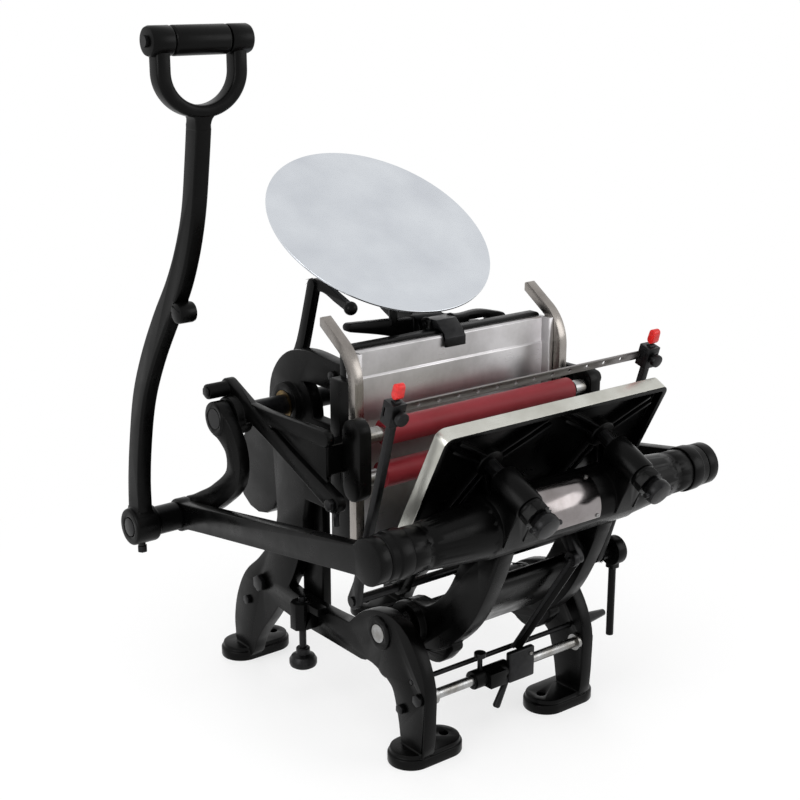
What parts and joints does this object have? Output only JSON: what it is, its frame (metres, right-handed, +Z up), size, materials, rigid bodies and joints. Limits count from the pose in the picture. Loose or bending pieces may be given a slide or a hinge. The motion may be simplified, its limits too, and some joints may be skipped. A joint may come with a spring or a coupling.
{
  "type": "tabletop letterpress",
  "caption": "Hand-lever tabletop letterpress with a rocking platen, a type bed with roller rails, inking rollers and a tilted ink disc.",
  "frame": {"origin": "centre of the four bench bolt holes, at bench level", "axes": "+X to the operator's right, +Y away from the operator, +Z up"},
  "size_m": [0.627, 0.562, 0.819],
  "materials": {
    "enamel": "black gloss enamel over cast iron, slightly worn",
    "polished_steel": "ground and polished",
    "turned_steel": "turned",
    "blackened_steel": "blackened",
    "bronze": "machined bronze",
    "roller_rubber": "red composition rubber, smooth",
    "red_tip": "red plastic cap"
  },
  "bodies": {
    "frame": {"side_frame_left": "enamel", "side_frame_right": "enamel", "bed_casting": "enamel", "bed_plate": "polished_steel", "rail_left": "polished_steel", "rail_right": "polished_steel", "rear_tie_bar": "enamel", "front_tie_rod": "turned_steel", "rocker_shaft": "turned_steel", "frame_bolts": "blackened_steel", "main_shaft_bushes": "bronze", "disc_bracket": "enamel", "disc_spindle": "turned_steel", "stop_post": "enamel", "stop_block": "enamel"},
    "latch": {"chase_latch": "blackened_steel"},
    "front_control": {"upper_front_rod": "blackened_steel"},
    "stop_screw": {"stop_screw": "blackened_steel"},
    "crank": {"main_shaft": "turned_steel", "crank_left": "enamel", "crank_right": "enamel", "crank_pins": "turned_steel", "hand_lever": "enamel", "lever_screws": "blackened_steel", "grip_rod": "turned_steel"},
    "grip": {"grip_sleeve": "enamel"},
    "arm_left": {"side_arm_left": "enamel"},
    "arm_right": {"side_arm_right": "enamel"},
    "platen": {"platen": "enamel", "rocker": "enamel", "bridge_barrel": "enamel", "barrel_collars": "enamel", "bare_plate": "polished_steel", "screw_locknuts": "enamel", "control_bracket": "enamel"},
    "screw_left": {"impression_screw_left": "blackened_steel"},
    "screw_right": {"impression_screw_right": "blackened_steel"},
    "gripper": {"gripper_shaft": "blackened_steel", "gripper_fingers": "blackened_steel", "gripper_clamps": "blackened_steel", "gripper_tips": "red_tip", "gripper_strip": "turned_steel"},
    "link": {"gripper_link": "blackened_steel"},
    "control": {"control_knob": "enamel"},
    "roller_frame": {"roller_arm_left": "enamel", "roller_arm_right": "enamel", "roller_arm_bolts": "blackened_steel"},
    "saddles": {"saddle_left": "enamel", "saddle_right": "enamel"},
    "upper_roller": {"upper_roller_core": "turned_steel", "upper_roller_rubber": "roller_rubber", "roller_trucks_upper": "turned_steel"},
    "lower_roller": {"lower_roller_core": "turned_steel", "lower_roller_rubber": "roller_rubber", "roller_trucks_lower": "turned_steel"},
    "disc": {"ink_disc": "polished_steel", "disc_ratchet": "blackened_steel"},
    "pawl": {"pawl_arm": "enamel"},
    "clamp": {"rod_clamp": "enamel"},
    "thumbscrew": {"clamp_thumbscrew": "turned_steel"}
  },
  "joints": [
    {"name": "lever_turn", "type": "hinge", "parent": "frame", "child": "crank", "pos_m": [0, 0.045, 0.376], "axis": [1, 0, 0], "range_deg": [0, 70]},
    {"name": "platen_swing", "type": "hinge", "parent": "frame", "child": "platen", "pos_m": [0, -0.1283, 0.1418], "axis": [1, 0, 0], "range_deg": [-27.2, 0]},
    {"name": "arm_left_turn", "type": "hinge", "parent": "crank", "child": "arm_left", "pos_m": [-0.2465, 0.1096, 0.2436], "axis": [1, 0, 0], "range_deg": [-54, 0]},
    {"name": "arm_right_turn", "type": "hinge", "parent": "crank", "child": "arm_right", "pos_m": [0.2465, 0.1096, 0.2436], "axis": [1, 0, 0], "range_deg": [-54, 0]},
    {"name": "grip_spin", "type": "hinge", "parent": "crank", "child": "grip", "pos_m": [-0.3033, -0.06, 0.804], "axis": [1, 0, 0], "continuous": true},
    {"name": "roller_swing", "type": "hinge", "parent": "frame", "child": "roller_frame", "pos_m": [0, 0.045, 0.376], "axis": [1, 0, 0], "range_deg": [-70, 0]},
    {"name": "saddle_slide", "type": "slide", "parent": "roller_frame", "child": "saddles", "axis": [0, -1, 0], "range_m": [0, 0.012], "stiffness_N_per_m": 1500, "springref_m": -0.012},
    {"name": "upper_roller_spin", "type": "hinge", "parent": "saddles", "child": "upper_roller", "pos_m": [0, -0.14469, 0.38694], "axis": [1, 0, 0], "continuous": true},
    {"name": "lower_roller_spin", "type": "hinge", "parent": "saddles", "child": "lower_roller", "pos_m": [0, -0.14105, 0.33747], "axis": [1, 0, 0], "continuous": true},
    {"name": "gripper_tilt", "type": "hinge", "parent": "platen", "child": "gripper", "pos_m": [0, -0.17, 0.214], "axis": [1, 0, 0], "range_deg": [0, 10.5]},
    {"name": "link_swing", "type": "hinge", "parent": "platen", "child": "link", "pos_m": [0, -0.236, 0.258], "axis": [1, 0, 0], "range_deg": [0, 5.2]},
    {"name": "screw_left_turn", "type": "hinge", "parent": "platen", "child": "screw_left", "pos_m": [-0.084, -0.31929, 0.33715], "axis": [0, -0.8894, -0.4571], "continuous": true},
    {"name": "screw_right_turn", "type": "hinge", "parent": "platen", "child": "screw_right", "pos_m": [0.084, -0.31929, 0.33715], "axis": [0, -0.8894, -0.4571], "continuous": true},
    {"name": "control_turn", "type": "hinge", "parent": "platen", "child": "control", "pos_m": [0.127, -0.241, 0.214], "axis": [1, 0, 0], "range_deg": [-12, 12]},
    {"name": "disc_turn", "type": "hinge", "parent": "frame", "child": "disc", "pos_m": [0, 0.0398, 0.5716], "axis": [0, -0.5534, 0.8329], "continuous": true},
    {"name": "pawl_swing", "type": "hinge", "parent": "frame", "child": "pawl", "pos_m": [-0.1085, 0.066, 0.41], "axis": [1, 0, 0], "range_deg": [0, 3.5]},
    {"name": "latch_lift", "type": "hinge", "parent": "frame", "child": "latch", "pos_m": [0, -0.07, 0.477], "axis": [1, 0, 0], "range_deg": [-20, 0], "stiffness_Nm_per_rad": 0.05},
    {"name": "front_control_turn", "type": "hinge", "parent": "frame", "child": "front_control", "pos_m": [0, -0.184, 0.101], "axis": [1, 0, 0], "range_deg": [-15, 15]},
    {"name": "stop_screw_turn", "type": "hinge", "parent": "frame", "child": "stop_screw", "pos_m": [-0.146, 0.008, 0.09], "axis": [0, 0, 1], "continuous": true},
    {"name": "clamp_slide", "type": "slide", "parent": "frame", "child": "clamp", "axis": [1, 0, 0], "range_m": [-0.015, 0.015]},
    {"name": "thumbscrew_turn", "type": "hinge", "parent": "clamp", "child": "thumbscrew", "pos_m": [-0.042, -0.199, 0.1], "axis": [0, 0, 1], "continuous": true}
  ],
  "couplings": [
    {"joint": "platen_swing", "follows": "lever_turn", "ratio": -0.38857},
    {"joint": "arm_left_turn", "follows": "lever_turn", "ratio": -0.77143},
    {"joint": "arm_right_turn", "follows": "lever_turn", "ratio": -0.77143},
    {"joint": "roller_swing", "follows": "lever_turn", "ratio": -1},
    {"joint": "gripper_tilt", "follows": "lever_turn", "ratio": 0.15},
    {"joint": "link_swing", "follows": "lever_turn", "ratio": 0.074286},
    {"joint": "pawl_swing", "follows": "lever_turn", "ratio": 0.05}
  ]
}
